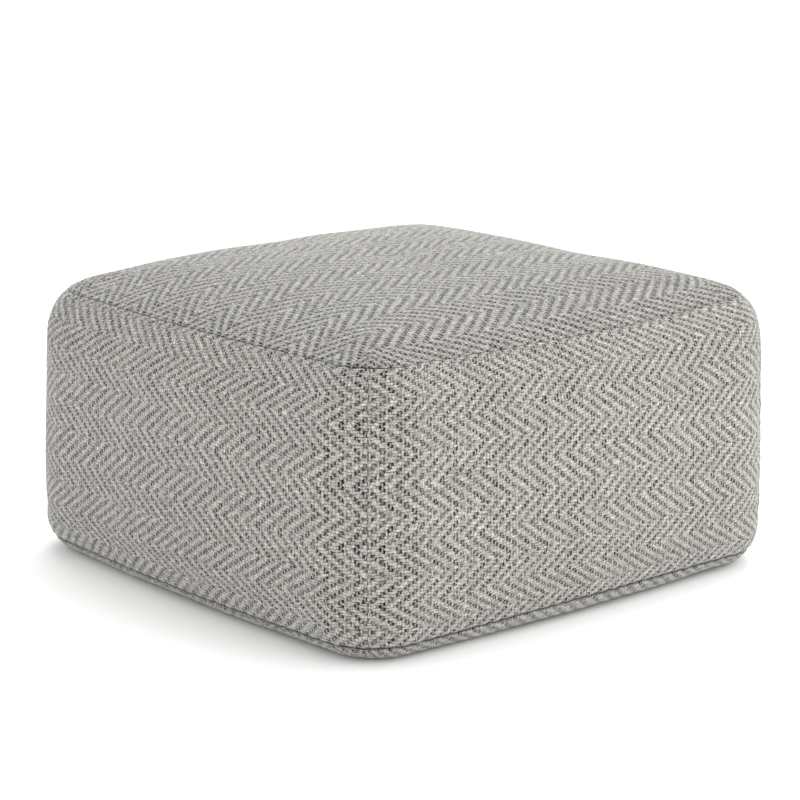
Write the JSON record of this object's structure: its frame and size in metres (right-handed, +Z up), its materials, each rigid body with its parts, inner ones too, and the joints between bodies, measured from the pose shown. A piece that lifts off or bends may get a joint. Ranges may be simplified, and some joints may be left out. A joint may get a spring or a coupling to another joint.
{
  "type": "cube pouf stool",
  "caption": "Low square pouf stool, a stuffed block with crowned top, rounded corners and drawn-in plain seams, covered in chunky grey and off-white herringbone cloth.",
  "frame": {"origin": "middle of the underside, on the floor", "axes": "+Z up, -Y towards the front side panel, +X towards the right side panel"},
  "size_m": [0.61, 0.61, 0.332],
  "materials": {
    "herringbone_cloth": "matt, chunky two-by-two twill herringbone, off-white yarns over mid-grey yarns"
  },
  "bodies": {
    "root": {"top_panel": "herringbone_cloth", "side_panel_right": "herringbone_cloth", "side_panel_front": "herringbone_cloth", "side_panel_left": "herringbone_cloth", "side_panel_back": "herringbone_cloth", "base_panel": "herringbone_cloth"}
  },
  "joints": []
}
